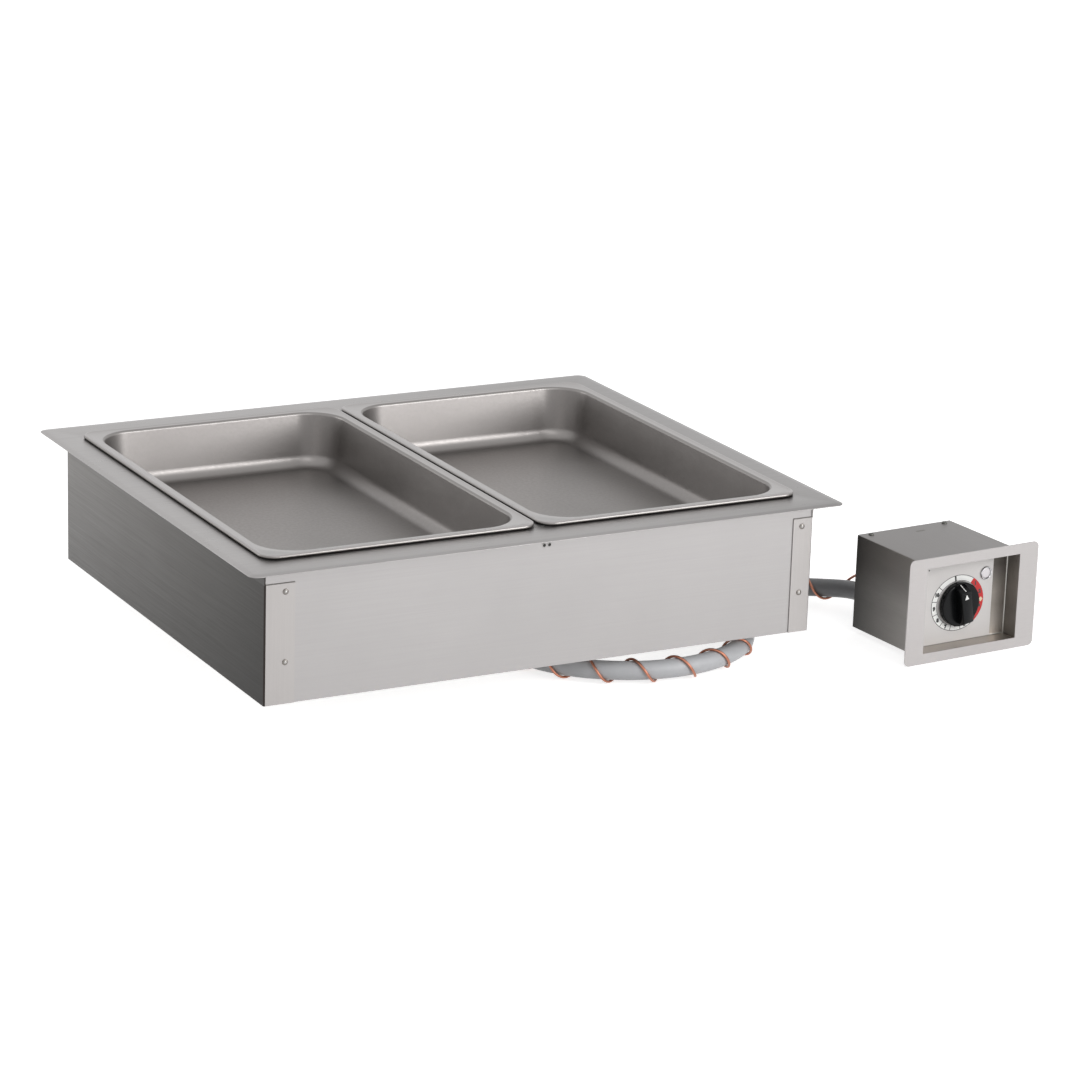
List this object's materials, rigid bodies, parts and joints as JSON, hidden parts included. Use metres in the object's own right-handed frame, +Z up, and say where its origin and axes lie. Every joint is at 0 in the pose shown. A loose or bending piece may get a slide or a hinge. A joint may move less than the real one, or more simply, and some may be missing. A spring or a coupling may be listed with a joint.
{
  "type": "drop-in hot food well",
  "caption": "Drop-in hot food well: a flanged deck with food pans over a sheet-metal casing, and a remote thermostat box on a flexible conduit.",
  "frame": {"origin": "middle of the plane on which the deck's edge bears, the top of the countertop that carries the well", "axes": "+X to the right along the front, +Y to the back, +Z up"},
  "size_m": [0.9653, 0.6489, 0.1955],
  "materials": {
    "deck": "satin stainless sheet",
    "pan_steel": "satin drawn stainless steel",
    "well_steel": "satin stainless sheet",
    "casing_steel": "bright aluminised sheet",
    "rivet": "matt, blind rivets",
    "fitting": "zinc-plated fittings",
    "conduit_grey": "smooth grey jacket",
    "copper": "bare drawn copper",
    "cable_sheath": "dull metal sheath",
    "insulation": "mineral fibre",
    "grommet_rubber": "matt black",
    "bezel_steel": "satin stainless, brushed lengthwise",
    "housing_steel": "plain sheet",
    "screw_steel": "plated screws",
    "dial_print": "printed label",
    "knob_black": "gloss moulding",
    "thermostat_case": "dull",
    "lens": "milky translucent",
    "ring_chrome": "polished",
    "light_body": "moulded"
  },
  "bodies": {
    "root": {"deck_flange": "deck", "well_liner": "well_steel", "divider_supports": "well_steel", "front_panel": "casing_steel", "back_panel": "casing_steel", "left_side_panel": "casing_steel", "right_side_panel": "casing_steel", "bottom_panel": "casing_steel", "panel_rivets": "rivet", "conduit_elbow": "fitting", "elbow_locknut": "fitting", "box_connector": "fitting", "connector_locknut": "fitting", "bulb_clip": "fitting", "conduit": "conduit_grey", "capillary_tube": "copper", "thermostat_bulb": "copper", "heating_cable": "cable_sheath", "insulation_wrap": "insulation", "insulation_base": "insulation", "capillary_grommets": "grommet_rubber", "control_bezel": "bezel_steel", "control_faceplate": "bezel_steel", "control_housing": "housing_steel", "housing_back_cover": "housing_steel", "cover_screws": "screw_steel", "dial_plate": "dial_print", "thermostat_body": "thermostat_case", "indicator_lens": "lens", "indicator_ring": "ring_chrome", "indicator_body": "light_body", "terminal_block": "light_body"},
    "divider": {"divider_bar": "well_steel"},
    "left_pan": {"left_pan": "pan_steel", "left_pan_rim": "pan_steel"},
    "right_pan": {"right_pan": "pan_steel", "right_pan_rim": "pan_steel"},
    "knob": {"control_knob": "knob_black", "thermostat_spindle": "fitting"}
  },
  "joints": [
    {"name": "divider_lift", "type": "slide", "parent": "root", "child": "divider", "axis": [0, 0, 1], "range_m": [0, 0.15]},
    {"name": "left_pan_lift", "type": "slide", "parent": "divider", "child": "left_pan", "axis": [0, 0, 1], "range_m": [0, 0.15]},
    {"name": "right_pan_lift", "type": "slide", "parent": "divider", "child": "right_pan", "axis": [0, 0, 1], "range_m": [0, 0.15]},
    {"name": "knob_turn", "type": "hinge", "parent": "root", "child": "knob", "pos_m": [0.51113, -0.32495, -0.1302], "axis": [-0.0698, 0.9976, 0], "range_deg": [0, 300]}
  ]
}
